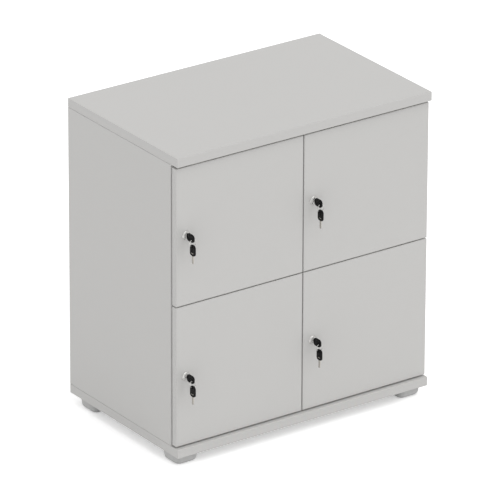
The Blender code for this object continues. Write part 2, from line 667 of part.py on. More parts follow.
def lockers():
    """Doors with their hinges, locks, keys and rings."""
    cup = cup_mesh()
    plate = plate_mesh()
    straight_arm = arm_mesh("hinge_arm_straight", 0.0)
    cranked_arm = arm_mesh("hinge_arm_cranked", arm_crank)
    housing = housing_mesh()
    plug = plug_mesh()
    key = key_mesh()
    ring = ring_mesh()
    columns = (
        ("left", -DOOR_MIDDLE_GAP / 2, cranked_arm, -PARTITION_THICKNESS / 2),
        ("right", BODY_WIDTH / 2 - DOOR_SIDE_REVEAL, straight_arm, BODY_WIDTH / 2 - SIDE_THICKNESS),
    )
    rows = (
        ("upper", upper_door_base, upper_door_height, upper_lock),
        ("lower", lower_door_base, LOWER_DOOR_HEIGHT, lower_lock),
    )
    pin_y = door_front + PIN_FACE_INSET
    for row, door_base, door_height, lock_z in rows:
        middle = door_base + door_height / 2
        hinges = (("bottom", HINGE_END_INSET - door_height / 2), ("top", door_height / 2 - HINGE_END_INSET))
        leaf = door_mesh(f"door_{row}", door_height, [height for _, height in hinges], lock_z - middle)
        for column, edge, arm, panel_face in columns:
            bay = f"{row}_{column}"
            pin_x = edge - PIN_EDGE_INSET
            hinge_axis = axis(f"hinge_axis_{bay}", (pin_x, pin_y, middle))
            piece(f"door_{bay}", leaf, BOARD_LOOK, (pin_x, pin_y, middle), hinge_axis)
            for end, height in hinges:
                level = middle + height
                piece(f"hinge_cup_{end}_{bay}", cup, NICKEL_LOOK, (pin_x, pin_y, level), hinge_axis)
                piece(f"hinge_arm_{end}_{bay}", arm, NICKEL_LOOK, (pin_x, pin_y, level))
                plate_place = (panel_face, carcass_front + PLATE_SCREW_SETBACK, level)
                piece(f"hinge_plate_{end}_{bay}", plate, NICKEL_LOOK, plate_place)

            lock_x = edge - door_width + LOCK_EDGE_INSET
            lock_axis = axis(f"lock_axis_{bay}", (lock_x, door_front, lock_z), hinge_axis)
            piece(f"lock_housing_{bay}", housing, NICKEL_LOOK, (lock_x, door_front, lock_z), hinge_axis)
            piece(f"lock_plug_{bay}", plug, NICKEL_LOOK, (lock_x, door_front, lock_z), lock_axis)
            hole_y = door_front - key_hole_reach
            inserted = piece(f"key_{bay}", key, KEY_LOOK, (lock_x, hole_y, lock_z), lock_axis)
            wire_z = lock_z - wire_offset
            swung = piece(f"key_ring_{bay}", ring, STEEL_LOOK, (lock_x, hole_y, wire_z), inserted)
            spare_wire_z = wire_z - 2 * RING_RADIUS
            spare_axis = axis(f"spare_axis_{bay}", (lock_x, hole_y, spare_wire_z), swung)
            piece(f"spare_key_{bay}", key, KEY_LOOK, (lock_x, hole_y, spare_wire_z - wire_offset), spare_axis,
                  (-math.pi / 2, 0.0, math.pi))


carcass()
feet()
lockers()
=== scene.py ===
import math

import bmesh
import bpy
import numpy as np
from mathutils import Euler, Matrix, Vector


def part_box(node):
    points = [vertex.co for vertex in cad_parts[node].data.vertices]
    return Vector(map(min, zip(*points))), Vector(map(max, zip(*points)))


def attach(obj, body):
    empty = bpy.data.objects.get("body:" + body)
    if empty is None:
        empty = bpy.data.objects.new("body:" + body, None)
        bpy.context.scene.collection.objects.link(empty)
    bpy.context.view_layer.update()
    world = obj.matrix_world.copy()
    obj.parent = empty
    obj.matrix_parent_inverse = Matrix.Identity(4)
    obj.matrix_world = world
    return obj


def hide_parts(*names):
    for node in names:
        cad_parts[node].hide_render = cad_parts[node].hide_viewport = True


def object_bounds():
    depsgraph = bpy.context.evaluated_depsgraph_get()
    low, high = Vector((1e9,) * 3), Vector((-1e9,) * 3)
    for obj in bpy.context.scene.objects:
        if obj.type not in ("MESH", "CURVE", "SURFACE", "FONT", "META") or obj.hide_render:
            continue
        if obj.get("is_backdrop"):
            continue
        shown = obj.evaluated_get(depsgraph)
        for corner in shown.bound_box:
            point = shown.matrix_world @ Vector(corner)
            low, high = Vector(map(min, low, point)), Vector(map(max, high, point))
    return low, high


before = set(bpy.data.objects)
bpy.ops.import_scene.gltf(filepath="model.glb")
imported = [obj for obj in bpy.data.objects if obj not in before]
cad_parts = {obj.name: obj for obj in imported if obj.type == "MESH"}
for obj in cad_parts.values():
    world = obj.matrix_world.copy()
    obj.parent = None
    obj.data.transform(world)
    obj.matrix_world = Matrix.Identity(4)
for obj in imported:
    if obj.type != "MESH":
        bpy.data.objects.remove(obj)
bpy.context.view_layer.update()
bays = ("upper_left", "upper_right", "lower_left", "lower_right")


# Boards: particle board pressed between sheets of light grey melamine, sawn, and edged
# with plastic banding whose joint shows as a hairline near each edge. Grooves, slots and
# bores open the raw board. They are dowelled and drawn together with cam fittings.
banding = 0.002
thin_banding = 0.001
banding_round = 0.0006
joint_width = 0.00018
face_sheet = 0.0009
melamine_relief = 0.00003
melamine_grey = (0.551, 0.545, 0.533)
banding_grey = (0.538, 0.532, 0.521)
joint_grey = (0.30, 0.297, 0.29)
dark_chip, brown_chip, pale_chip = (0.30, 0.19, 0.10), (0.47, 0.33, 0.19), (0.62, 0.46, 0.29)


class Level:
    """A shader socket in arithmetic: each operator adds a Math node that works it out."""

    def __init__(self, socket):
        self.socket = socket

    def math(self, operation, *others):
        tree = self.socket.id_data
        made = tree.nodes.new("ShaderNodeMath")
        made.operation = operation
        for place, item in zip(made.inputs, (self, *others)):
            if isinstance(item, Level):
                tree.links.new(item.socket, place)
            else:
                place.default_value = item
        return Level(made.outputs[0])

    def __add__(self, other):
        return self.math("ADD", other)

    def __sub__(self, other):
        return self.math("SUBTRACT", other)

    def __rsub__(self, other):
        return self.math("MULTIPLY", -1.0).math("ADD", other)

    def __mul__(self, other):
        return self.math("MULTIPLY", other)

    def __truediv__(self, other):
        return self.math("DIVIDE", other)

    def __abs__(self):
        return self.math("ABSOLUTE")

    __radd__ = __add__
    __rmul__ = __mul__

    def least(self, other):
        return self.math("MINIMUM", other)

    def most(self, other):
        return self.math("MAXIMUM", other)

    def over(self, edge, width):
        """0 below the edge, 1 above it, with a ramp as wide as the width."""
        return ((self - edge) / width + 0.5).most(0.0).least(1.0)


def shaded(colour, share):
    """The colour, darker or paler by a share."""
    return [share * tone for tone in colour]


class Finish:
    """A surface finish: one material, and the nodes that vary it over the piece."""

    def __init__(self, name, colour, roughness, metallic=0.0, **constants):
        self.material = bpy.data.materials.new(name)
        self.material.use_nodes = True
        self.tree = self.material.node_tree
        self.shader = self.tree.nodes["Principled BSDF"]
        self.set("Base Color", (*colour, 1.0))
        self.set("Roughness", roughness)
        self.set("Metallic", metallic)
        for words, value in constants.items():
            self.set(words.replace("_", " "), value)

    def set(self, socket, value):
        """Gives one socket of the shader a constant or a varying value."""
        if isinstance(value, Level):
            self.tree.links.new(value.socket, self.shader.inputs[socket])
        else:
            self.shader.inputs[socket].default_value = value

    def add(self, kind, settings=(), output=0, **sockets):
        """Adds a node: its settings first, then what goes into its sockets, by name or as _number."""
        made = self.tree.nodes.new("ShaderNode" + kind)
        for word, value in dict(settings).items():
            if word == "stops":
                stops = made.color_ramp.elements
                for number, (position, colour) in enumerate(value):
                    stop = stops[number] if number < len(stops) else stops.new(position)
                    stop.position = position
                    stop.color = (*colour, 1.0)
            else:
                setattr(made, word, value)
        for word, value in sockets.items():
            place = made.inputs[int(word[1:]) if word[0] == "_" else word.replace("_", " ")]
            if isinstance(value, Level):
                self.tree.links.new(value.socket, place)
            else:
                place.default_value = value
        return Level(made.outputs[output])

    def place(self, scale=(1.0, 1.0, 1.0)):
        """Where a point is on the piece, in metres, times a scale along each axis."""
        here = self.add("TexCoord", output="Object")
        shrunk = [1.0 / size for size in scale]
        return self.add("Mapping", {"vector_type": "TEXTURE"}, Vector=here, Scale=shrunk)

    def noise(self, scale, detail=3.0, where=None):
        """Cloudy noise from 0 to 1, whose features are 1 / scale metres wide."""
        return self.add("TexNoise", Vector=where or self.place(), Scale=scale, Detail=detail, Roughness=0.55)

    def blend(self, mask, first, second):
        """The first colour where the mask is 0 and the second where it is 1."""
        both = {"_6": first if isinstance(first, Level) else (*first, 1.0),
                "_7": second if isinstance(second, Level) else (*second, 1.0)}
        return self.add("Mix", {"data_type": "RGBA"}, output=2, Factor=mask, **both)

    def relief(self, height, depth):
        """Raises the surface by the height value, times a depth in metres."""
        self.set("Normal", self.add("Bump", Height=height, Distance=depth, Strength=1.0))


def board_finish(name, low, high, band, opened=False):
    """Melamine on a board: distances from its six faces give the banding joint and the raw core."""
    made = Finish(name, melamine_grey, 0.5)
    here = made.add("TexCoord", output="Object")
    split = [made.add("SeparateXYZ", output=axis, Vector=here) for axis in range(3)]
    away = [(split[axis] - low[axis]).least(high[axis] - split[axis]) for axis in range(3)]
    thin = min(range(3), key=lambda axis: high[axis] - low[axis])
    across = [away[axis] for axis in range(3) if axis != thin]
    from_edge = across[0].least(across[1])
    broad = from_edge.over(banding_round, width=0.0001)
    joint = (1.0 - abs(from_edge - band).over(joint_width, width=0.0001)) * broad

    cloud = made.noise(scale=7.0, detail=4.0)
    pearl = made.noise(scale=650.0, detail=2.0)
    fleck = made.noise(scale=2600.0, detail=1.0)
    face = made.blend(cloud.over(0.5, width=0.5), shaded(melamine_grey, 0.992), shaded(melamine_grey, 1.008))
    face = made.blend(fleck.over(0.66, width=0.08) * 0.25, face, shaded(melamine_grey, 0.93))
    colour = made.blend(broad, banding_grey, face)
    colour = made.blend(joint * 0.65, colour, joint_grey)
    rough = 0.47 + cloud * 0.10 + pearl * 0.05
    height = pearl * 0.7 + fleck * 0.3 - joint * 1.5
    if opened:
        raw = from_edge.least(away[thin]).over(face_sheet, width=0.0002)
        chip = made.add("TexVoronoi", {"feature": "F1"}, output="Color",
                        Vector=made.place((1.0, 1.0, 0.45)), Scale=520.0)
        grain = made.add("ValToRGB", {"stops": ((0.15, dark_chip), (0.85, pale_chip), (0.5, brown_chip))},
                         Fac=made.add("SeparateColor", Color=chip))
        colour = made.blend(raw, colour, grain)
        rough = rough * (1.0 - raw) + raw * 0.92
        height = height * (1.0 - raw) + raw * made.noise(scale=1400.0) * 5.0
    made.set("Base Color", colour)
    made.set("Roughness", rough)
    made.relief(height, melamine_relief)
    return made.material


def dress(node, material):
    """Gives a CAD node its finish."""
    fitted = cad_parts[node]
    fitted.material_slots[0].material = material
    fitted.material_slots[0].link = "DATA"
    fitted.data.materials[0] = material


for board, band, opened in (
    ("base_panel", banding, False),
    ("left_side_panel", thin_banding, True),
    ("right_side_panel", thin_banding, True),
    ("centre_partition", thin_banding, True),
    ("left_shelf", thin_banding, False),
    ("right_shelf", thin_banding, False),
    ("back_panel", thin_banding, False),
    ("top_panel", banding, False),
):
    dress(board, board_finish(board + "_melamine", *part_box(board), band, opened))

for bay in bays:
    door = "door_" + bay
    dress(door, board_finish(door + "_melamine", *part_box(door), banding, True))


# Cam fittings: zinc discs turned with a screwdriver, let into the inner faces near each
# joint, where they grip the bolts of the board across. Their rims stay a hair proud.
disc_radius = 0.0075
disc_rise = 0.0004
disc_cross_sink = 0.0012
disc_crown = 0.1
fitting_from_joint = 0.034
fitting_from_front = 0.060
fitting_from_back = 0.090

base_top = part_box("base_panel")[1].z
top_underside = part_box("top_panel")[0].z
carcass_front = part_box("left_side_panel")[0].y
board_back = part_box("left_side_panel")[1].y
facing = {
    "right": Matrix.Rotation(math.pi / 2, 4, "Y"),
    "left": Matrix.Rotation(-math.pi / 2, 4, "Y"),
    "down": Matrix.Rotation(math.pi, 4, "X"),
    "back": Matrix.Rotation(-math.pi / 2, 4, "X"),
    "front": Matrix.Rotation(math.pi / 2, 4, "X"),
}


def around(radii, heights, count=48):
    """Rows of points round the z axis: at each height, the radius, or one radius for each of the turns."""
    turns = np.arange(count) * 2 * math.pi / count
    rows = np.stack([np.broadcast_to(radius, count) for radius in radii])
    levels = np.broadcast_to(np.array(heights, float)[:, None], rows.shape)
    return np.stack([rows * np.cos(turns), rows * np.sin(turns), levels], -1)


def screw_head(radius, rise, sink, crown=0.35, count=40):
    """Crossed head: the height falls with the square of the radius, less the sink inside a cross."""
    reach_shares = np.array([0.02, 0.10, 0.17, 0.24, 0.32, 0.42, 0.52, 0.60, 0.70, 0.85, 0.96, 1.0, 1.0,
                             0.98])
    cross_reach_share, cross_width_share, rim_share = 0.56, 0.15, 0.6
    below_seat = 0.0002
    rows = around(radius * reach_shares, rise * (1.0 - crown * reach_shares**2), count)
    along, across = np.abs(rows[..., 0]) / radius, np.abs(rows[..., 1]) / radius
    in_reach = np.maximum(along, across) < cross_reach_share
    in_width = np.minimum(along, across) < cross_width_share
    rows[..., 2] -= sink * (in_reach & in_width)
    rows[-2, :, 2] *= rim_share
    rows[-1, :, 2] = -below_seat
    return rows[::-1]


def moved(rows, place):
    """The same rows after a 4 x 4 turn and move."""
    grid = np.array(place)
    return rows @ grid[:3, :3].T + grid[:3, 3]


def seated(rows, spot, way):
    """Rows made along z, turned to face one way and moved to a spot."""
    return moved(rows, Matrix.Translation(spot) @ facing[way])


def surface(name, shells, finishes, sharp=35.0):
    """An object from shells of (rows, finish number, loop): each grid of points is closed across, and is
    either capped at its first and last row or, as a loop, joined from the last row to the first."""
    faces, numbers, used = [], [], 0
    for rows, number, loop in shells:
        count, across = rows.shape[:2]
        index = used + np.arange(count * across).reshape(count, across)
        near, far = (index, np.roll(index, -1, 0)) if loop else (index[:-1], index[1:])
        faces += np.stack([near, np.roll(near, -1, 1), np.roll(far, -1, 1), far], -1).reshape(-1, 4).tolist()
        if not loop:
            faces += [index[0, ::-1].tolist(), index[-1].tolist()]
        numbers += [number] * (len(faces) - len(numbers))
        used += count * across
    points = np.concatenate([rows.reshape(-1, 3) for rows, number, loop in shells])
    mesh = bpy.data.meshes.new(name)
    mesh.from_pydata(points.tolist(), [], faces)
    mesh.polygons.foreach_set("material_index", numbers)
    work = bmesh.new()
    work.from_mesh(mesh)
    bmesh.ops.remove_doubles(work, verts=work.verts, dist=0.000002)
    bmesh.ops.dissolve_degenerate(work, edges=work.edges, dist=0.000001)
    bmesh.ops.recalc_face_normals(work, faces=work.faces)
    work.to_mesh(mesh)
    work.free()
    for finish in finishes:
        mesh.materials.append(finish)
    mesh.shade_smooth()
    mesh.set_sharp_from_angle(angle=math.radians(sharp))
    made = bpy.data.objects.new(name, mesh)
    bpy.context.scene.collection.objects.link(made)
    return made


def piece(name, shells, finishes, body, slot, *stands_for, sharp=35.0):
    """A surface that rides on a body, and stands for the CAD nodes that are named, if any."""
    made = surface(name, shells, finishes, sharp)
    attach(made, body)
    if stands_for:
        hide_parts(*stands_for)
    return made


def metal(name, colour, roughness, brushed=0.0, scale=(1.0, 1.0, 1.0)):
    """Plated metal: fine brushing or casting grain, and faint darker blotches."""
    made = Finish(name, colour, roughness, metallic=1.0)
    grain = made.noise(scale=2400.0, detail=2.0, where=made.place(scale))
    blotch = made.noise(scale=160.0)
    made.set("Base Color", made.blend(blotch.over(0.55, width=0.5), colour, shaded(colour, 0.9)))
    made.set("Roughness", roughness + blotch * 0.08 + grain * brushed)
    made.relief(grain, 0.000004)
    return made.material


zinc = metal("zinc_plate", (0.66, 0.66, 0.64), roughness=0.28, brushed=0.15)


def fittings(name, spots, way):
    """Discs at the spots, all facing one way."""
    disc = screw_head(disc_radius, disc_rise, disc_cross_sink, disc_crown)
    piece(name, [(seated(disc, spot, way), 0, False) for spot in spots], [zinc], "carcass", "hinge_nickel")


for panel, node, way in (
    ("left_side", "left_side_panel", "right"),
    ("right_side", "right_side_panel", "left"),
    ("partition", "centre_partition", "left"),
):
    low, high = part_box(node)
    face = high.x if way == "right" else low.x
    fittings(panel + "_cam_fittings", [
        (face, depth, level)
        for depth in (carcass_front + fitting_from_front, board_back - fitting_from_back)
        for level in (base_top + fitting_from_joint, top_underside - fitting_from_joint)
    ], way)
for side in ("left", "right"):
    low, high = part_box(side + "_shelf")
    fittings(side + "_shelf_cam_fittings", [
        (across, depth, low.z)
        for across in (low.x + fitting_from_joint, high.x - fitting_from_joint)
        for depth in (carcass_front + fitting_from_front, board_back - fitting_from_back)
    ], "down")


# Feet: hollow grey plastic mouldings, rounded square, that taper a little and turn under to
# a smaller sole. A screw through the hole in the sole draws each up against the base.
foot_corner = 0.022
foot_taper = 0.0023
foot_edge = 0.0004
sole_round = 0.014
flat_margin = 0.004
foot_hole = 0.006
foot_hole_edge = 0.0006
foot_hole_depth = 0.0215
foot_screw_sink = 0.0004
foot_grey = (0.47, 0.47, 0.465)


def outline(corners, steps=10):
    """Closed line through (x, y, radius) corners: each is an arc that touches both of its sides, centred
    on their bisector at the radius over the sine of half their angle."""
    spots = np.array(corners, float)
    here, radius = spots[:, :2], spots[:, 2:]
    back, on = np.roll(here, 1, 0) - here, np.roll(here, -1, 0) - here
    back, on = (side / np.linalg.norm(side, axis=1, keepdims=True) for side in (back, on))
    half = np.arccos((back * on).sum(1, keepdims=True)) / 2
    middle = (back + on) / np.linalg.norm(back + on, axis=1, keepdims=True)
    centre = here + middle * radius / np.sin(half)
    first, last = (here + side * radius / np.tan(half) - centre for side in (back, on))
    sweep = np.arctan2(first[:, 0] * last[:, 1] - first[:, 1] * last[:, 0], (first * last).sum(1))
    turn = sweep[:, None] * np.linspace(0.0, 1.0, steps + 1)
    x = first[:, :1] * np.cos(turn) - first[:, 1:] * np.sin(turn)
    y = first[:, :1] * np.sin(turn) + first[:, 1:] * np.cos(turn)
    return (centre[:, None] + np.stack([x, y], -1)).reshape(-1, 2)


def spaced(line, count):
    """The closed line again, at a count of points an even distance apart."""
    ring = np.concatenate([line, line[:1]])
    length = np.concatenate([[0.0], np.cumsum(np.linalg.norm(np.diff(ring, axis=0), axis=1))])
    marks = np.arange(count) * length[-1] / count
    return np.stack([np.interp(marks, length, ring[:, axis]) for axis in range(2)], -1)


def rounded_box(half_x, half_y, radius, count, steps=10):
    """Closed line of a rectangle with rounded corners, at a count of even points."""
    return spaced(outline([(half_x, half_y, radius), (-half_x, half_y, radius),
                           (-half_x, -half_y, radius), (half_x, -half_y, radius)], steps), count)


def carried(line, profile):
    """The line carried through a profile of (inset, height): moved in along its normals by each inset."""
    along = np.roll(line, -1, 0) - np.roll(line, 1, 0)
    inward = np.stack([-along[:, 1], along[:, 0]], -1) / np.linalg.norm(along, axis=1, keepdims=True)
    inset, height = np.array(profile, float).T
    rows = line + inward * inset[:, None, None]
    return np.concatenate([rows, np.broadcast_to(height[:, None, None], rows.shape[:2] + (1,))], -1)


def circles(line, profile):
    """Points on a circle for each (radius, height), in the same directions as the line's points."""
    spread = np.arctan2(line[:, 1], line[:, 0])
    radius, height = np.array(profile, float).T[:, :, None]
    levels = np.broadcast_to(height, (len(profile), len(line)))
    return np.stack([radius * np.cos(spread), radius * np.sin(spread), levels], -1)


def arc(inset, height, radius, start, stop, steps=6):
    """Profile points on an arc about (inset, height), from one angle to another in degrees."""
    turn = np.radians(np.linspace(start, stop, steps + 1))
    return np.stack([inset - radius * np.cos(turn), height + radius * np.sin(turn)], -1).tolist()


plastic = Finish("foot_plastic", foot_grey, 0.5)
pebble = plastic.add("TexVoronoi", {"feature": "SMOOTH_F1"}, Vector=plastic.place(), Scale=1300.0)
scuff = plastic.noise(scale=90.0, detail=4.0, where=plastic.place((1.0, 1.0, 2.5)))
rubbed = scuff.over(0.62, width=0.2) * 0.5
plastic.set("Base Color", plastic.blend(rubbed, foot_grey, shaded(foot_grey, 1.08)))
plastic.set("Roughness", 0.46 + scuff * 0.14)
plastic.relief(pebble, 0.00004)

for foot in ("front_left", "front_right", "rear_left", "rear_right"):
    low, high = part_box("foot_" + foot)
    middle = (low + high) / 2
    half = (high.x - low.x) / 2
    wall = rounded_box(half, half, foot_corner, count=120)
    turn_under = foot_taper + sole_round
    outside = carried(wall, [
        (flat_margin, high.z), (foot_edge, high.z), (0.0, high.z - foot_edge), (foot_taper, sole_round),
        *arc(turn_under, sole_round, sole_round, 0.0, -90.0, steps=12)[1:], (turn_under + flat_margin, 0.0),
    ])
    hole = circles(wall, [(foot_hole + foot_hole_edge, 0.0), (foot_hole, foot_hole_edge),
                          (foot_hole, foot_hole_depth)])
    rows = np.concatenate([outside, hole]) + (middle.x, middle.y, 0.0)
    piece("moulded_foot_" + foot, [(rows, 0, False)], [plastic.material], "carcass", "foot_plastic",
          "foot_" + foot)
    screw = seated(screw_head(radius=0.0048, rise=0.0026, sink=0.0018),
                   (middle.x, middle.y, foot_hole_depth - foot_screw_sink), "down")
    piece("foot_screw_" + foot, [(screw, 0, False)], [zinc], "carcass", "hinge_nickel")


# Hinge plates and arms: pressed steel, nickel plated. Two raised screws hold a plate to its
# panel; the goose-neck arm lies on the plate's rib under a clamping screw and a setting screw.
plate_screw_reach = 0.016
plate_wing = 0.0025
clamp_screw_from_tail, clamp_screw_radius = 0.011, 0.0040
setting_screw_step, setting_screw_radius = 0.010, 0.0031
arm_screw_sink = 0.0022
hinge_nickel = metal("hinge_nickel", (0.70, 0.69, 0.665), roughness=0.24, brushed=0.12,
                     scale=(1.0, 0.25, 1.0))

for bay in bays:
    screws = []
    for end in ("top", "bottom"):
        plate, arm = f"hinge_plate_{end}_{bay}", f"hinge_arm_{end}_{bay}"
        dress(plate, hinge_nickel)
        dress(arm, hinge_nickel)
        low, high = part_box(plate)
        middle = (low + high) / 2
        plate_screw = screw_head(radius=0.0042, rise=0.0011, sink=0.0009)
        for side in (-1, 1):
            spot = (high.x - plate_wing, middle.y, middle.z + side * plate_screw_reach)
            screws.append((seated(plate_screw, spot, "left"), 0, False))
        arm_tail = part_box(arm)[1].y
        for spot_y, radius in ((arm_tail - clamp_screw_from_tail, clamp_screw_radius),
                               (middle.y - setting_screw_step, setting_screw_radius)):
            arm_screw = screw_head(radius, rise=0.0018, sink=0.0012)
            spot = (low.x - arm_screw_sink, spot_y, middle.z)
            screws.append((seated(arm_screw, spot, "left"), 0, False))
    piece(f"hinge_screws_{bay}", screws, [zinc], "carcass", "hinge_nickel")


# Hinge cups: drawn steel cups, 35 mm across, pressed into bores in the door. A flange with
# two screw ears stays on the door's face, and the pin that the arm turns on crosses the mouth.
cup_radius = 0.0175
cup_wall = 0.0013
cup_mouth_round = 0.0007
cup_outer_corner = ((0.003, 0.0), (0.0012, 0.0004), (0.0, 0.0018))
cup_inner_corner = ((0.0, 0.0030), (0.0006, 0.0015), (0.0024, 0.0008))
cup_floor_dot = (0.0010, 0.0008)
flange_margin = 0.0005
flange_thickness = 0.0009
flange_round = 0.0003
ear_radius = 0.0055
ear_spacing = 0.048
pin_from_edge = 0.0085
pin_from_face = 0.00825
pin_radius = 0.0014
pin_point = 0.0002
pin_point_share = 0.8

# The angle at which the flange's straight sides leave its circles.
tangent = math.asin((cup_radius + flange_margin - ear_radius) * 2 / ear_spacing)


def flange_line(middle_radius, end_radius, count=96):
    """Line round a middle circle and two end circles along y, over their common tangents."""
    parts = []
    for centre, radius, start, sweep in (
        (0.0, middle_radius, -tangent, 2 * tangent),
        (ear_spacing / 2, end_radius, tangent, math.pi - 2 * tangent),
        (0.0, middle_radius, math.pi - tangent, 2 * tangent),
        (-ear_spacing / 2, end_radius, math.pi + tangent, math.pi - 2 * tangent),
    ):
        turn = start + sweep * np.linspace(0.0, 1.0, 24)
        parts.append(np.stack([radius * np.cos(turn), centre + radius * np.sin(turn)], -1))
    return spaced(np.concatenate(parts), count)


# A cup is drawn mouth up with its ears along y. This turn faces its mouth to the rear, ears upright.
into_door = Matrix(((-1, 0, 0, 0), (0, 0, 1, 0), (0, 1, 0, 0), (0, 0, 0, 1)))
rim = flange_line(cup_radius + flange_margin, ear_radius)
inside = cup_radius - cup_wall

for bay in bays:
    door_low, door_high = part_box("door_" + bay)
    for end in ("top", "bottom"):
        node = f"hinge_cup_{end}_{bay}"
        low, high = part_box(node)
        centre = Vector((high.x - cup_radius - flange_margin, high.y, (low.z + high.z) / 2))
        depth = high.y - low.y
        dot_radius, dot_height = cup_floor_dot
        rows = np.concatenate([
            circles(rim, [*((cup_radius - inset, height - depth) for inset, height in cup_outer_corner),
                          (cup_radius, -flange_thickness)]),
            carried(rim, [(0.0, -flange_thickness), (0.0, -flange_round), (flange_round, 0.0)]),
            circles(rim, [(inside + cup_mouth_round, 0.0), (inside, -cup_mouth_round),
                          *((inside - inset, height - depth) for inset, height in cup_inner_corner),
                          (dot_radius, dot_height - depth)]),
        ])
        shells = [(moved(rows, Matrix.Translation(centre) @ into_door), 0, False)]
        pin_x = door_high.x - pin_from_edge
        half_pin = math.sqrt(inside**2 - (pin_x - centre.x) ** 2)
        pin = around([pin_radius * pin_point_share, pin_radius, pin_radius, pin_radius * pin_point_share],
                     [-half_pin, pin_point - half_pin, half_pin - pin_point, half_pin], 24)
        shells.append((pin + (pin_x, door_low.y + pin_from_face, centre.z), 0, False))
        ear_screw = screw_head(radius=0.0036, rise=0.0008, sink=0.0007)
        for side in (-1, 1):
            spot = (centre.x, high.y, centre.z + side * ear_spacing / 2)
            shells.append((seated(ear_screw, spot, "back"), 1, False))
        piece(f"drawn_cup_{end}_{bay}", shells, [hinge_nickel, zinc], "door_" + bay, "hinge_nickel", node)


# Door buffers: soft clear dots stuck on the inner face near the free corners, which meet the
# panel's edge as the door shuts.
buffer_radius = 0.004
buffer_rise = 0.0028
buffer_inset = 0.0048
buffer_from_end = 0.012
buffer_sink = 0.0002
clear = Finish("clear_buffer", (0.86, 0.86, 0.84), 0.25, Transmission_Weight=0.35, IOR=1.45)
clear.relief(clear.noise(scale=900.0, detail=2.0), 0.00002)

reach_shares = np.sin(np.linspace(0.03, 1.0, 10) * math.pi / 2)
rise_shares = np.sqrt(1.0 - 0.98 * reach_shares**2)
dot = around(np.append(buffer_radius * reach_shares, buffer_radius),
             np.append(buffer_rise * rise_shares, -buffer_sink), 32)[::-1]

for bay in bays:
    low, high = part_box("door_" + bay)
    levels = (low.z + buffer_from_end, high.z - buffer_from_end)
    spots = [(low.x + buffer_inset, high.y, level) for level in levels]
    piece("door_buffers_" + bay, [(seated(dot, spot, "back"), 0, False) for spot in spots], [clear.material],
          "door_" + bay, None)


# Lock housings: die-cast, bright nickel. A dished rosette lies on the door's face; its
# threaded barrel, flattened on two sides, runs through the door to a hexagon nut behind.
rosette_radius = 0.012
rosette_rise = 0.006
rosette_dish = ((0.0086, 0.0), (0.0095, 0.00035), (0.0099, 0.0011), (0.0103, 0.0024), (0.0109, 0.0036),
                (0.0117, 0.0044), (rosette_radius, 0.0050))
seat_gap = 0.0002
barrel_radius = 0.009
barrel_flat = 0.008
barrel_rear = 0.012
bore_radius = 0.0066
bore_edge = 0.0004
thread_pitch = 0.0015
thread_depth = 0.0004
housing_points = 60
nut_half = 0.011
nut_hole_gap = 0.0001
nut_chamfers = ((0.0003, 0.0010), (0.0006, 0.0002), (0.0009, 0.0), (0.0034, 0.0), (0.0037, 0.0002),
                (0.0041, 0.0010))
bright_nickel = metal("bright_nickel", (0.65, 0.645, 0.63), roughness=0.34, brushed=0.06)

for bay in bays:
    node = "lock_housing_" + bay
    low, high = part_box(node)
    door_low, door_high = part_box("door_" + bay)
    thickness = door_high.y - door_low.y
    spot = ((low.x + high.x) / 2, door_low.y, (low.z + high.z) / 2)
    turns = np.arange(housing_points) * 2 * math.pi / housing_points
    # A straight side is as far off, at each turn, as its own distance over the cosine.
    flats = barrel_flat / np.maximum(np.abs(np.cos(turns)), 0.001)
    heights = np.arange(0.0, thickness + barrel_rear, thread_pitch / 4)
    crests = barrel_radius - thread_depth * np.abs((heights / thread_pitch + 0.5) % 1.0 - 0.5) * 2
    face = [
        (bore_radius, rosette_rise - bore_edge), (bore_radius + bore_edge, rosette_rise),
        *((radius, rosette_rise - drop) for radius, drop in rosette_dish),
        (rosette_radius, 2 * seat_gap), (rosette_radius - seat_gap, seat_gap),
    ]
    radii = [radius for radius, _ in face] + [np.minimum(crest, flats) for crest in crests] + [bore_radius]
    levels = [height for _, height in face] + [seat_gap - height for height in heights]
    housing = around(radii, levels + [-thickness - barrel_rear], housing_points)
    hexagon = nut_half / np.cos(turns % (math.pi / 3) - math.pi / 6)
    corner = nut_half / math.cos(math.pi / 6)
    hole = np.minimum(barrel_radius, flats) + nut_hole_gap
    sides = [np.minimum(hexagon, corner - cut_back) for _, cut_back in nut_chamfers]
    levels = [-thickness - height for height, _ in nut_chamfers]
    nut = around([hole, *sides, hole], [levels[0], *levels, levels[-1]], housing_points)
    shells = [(seated(housing, spot, "front"), 0, True), (seated(nut, spot, "front"), 1, True)]
    piece("lock_body_" + bay, shells, [bright_nickel, zinc], "door_" + bay, "lock_nickel", node)


# Lock plugs: die-cast, dull nickel, turned by the key, whose keyway is cut through the front.
# A zinc-plated steel cam is screwed to the rear end, and swings behind the edge of the panel.
plug_radius = 0.0063
plug_edge = 0.0005
plug_dot = 0.0004
plug_dish, plug_dish_rim, plug_dish_sink = 0.0044, 0.0049, 0.0003
keyway_width, keyway_height, keyway_depth = 0.0026, 0.0078, 0.024
keyway_corner = 0.0003
cam_width, cam_tail, cam_reach, cam_thickness = 0.014, 0.0085, 0.027, 0.002
cam_tip_corner, cam_edge = 0.0025, 0.0003
face_recess = 0.0005
overrun = 0.002
straight_left = 0.0001
lock_reach = rosette_rise - face_recess
satin_nickel = metal("satin_nickel", (0.90, 0.895, 0.88), roughness=0.60, brushed=0.06)


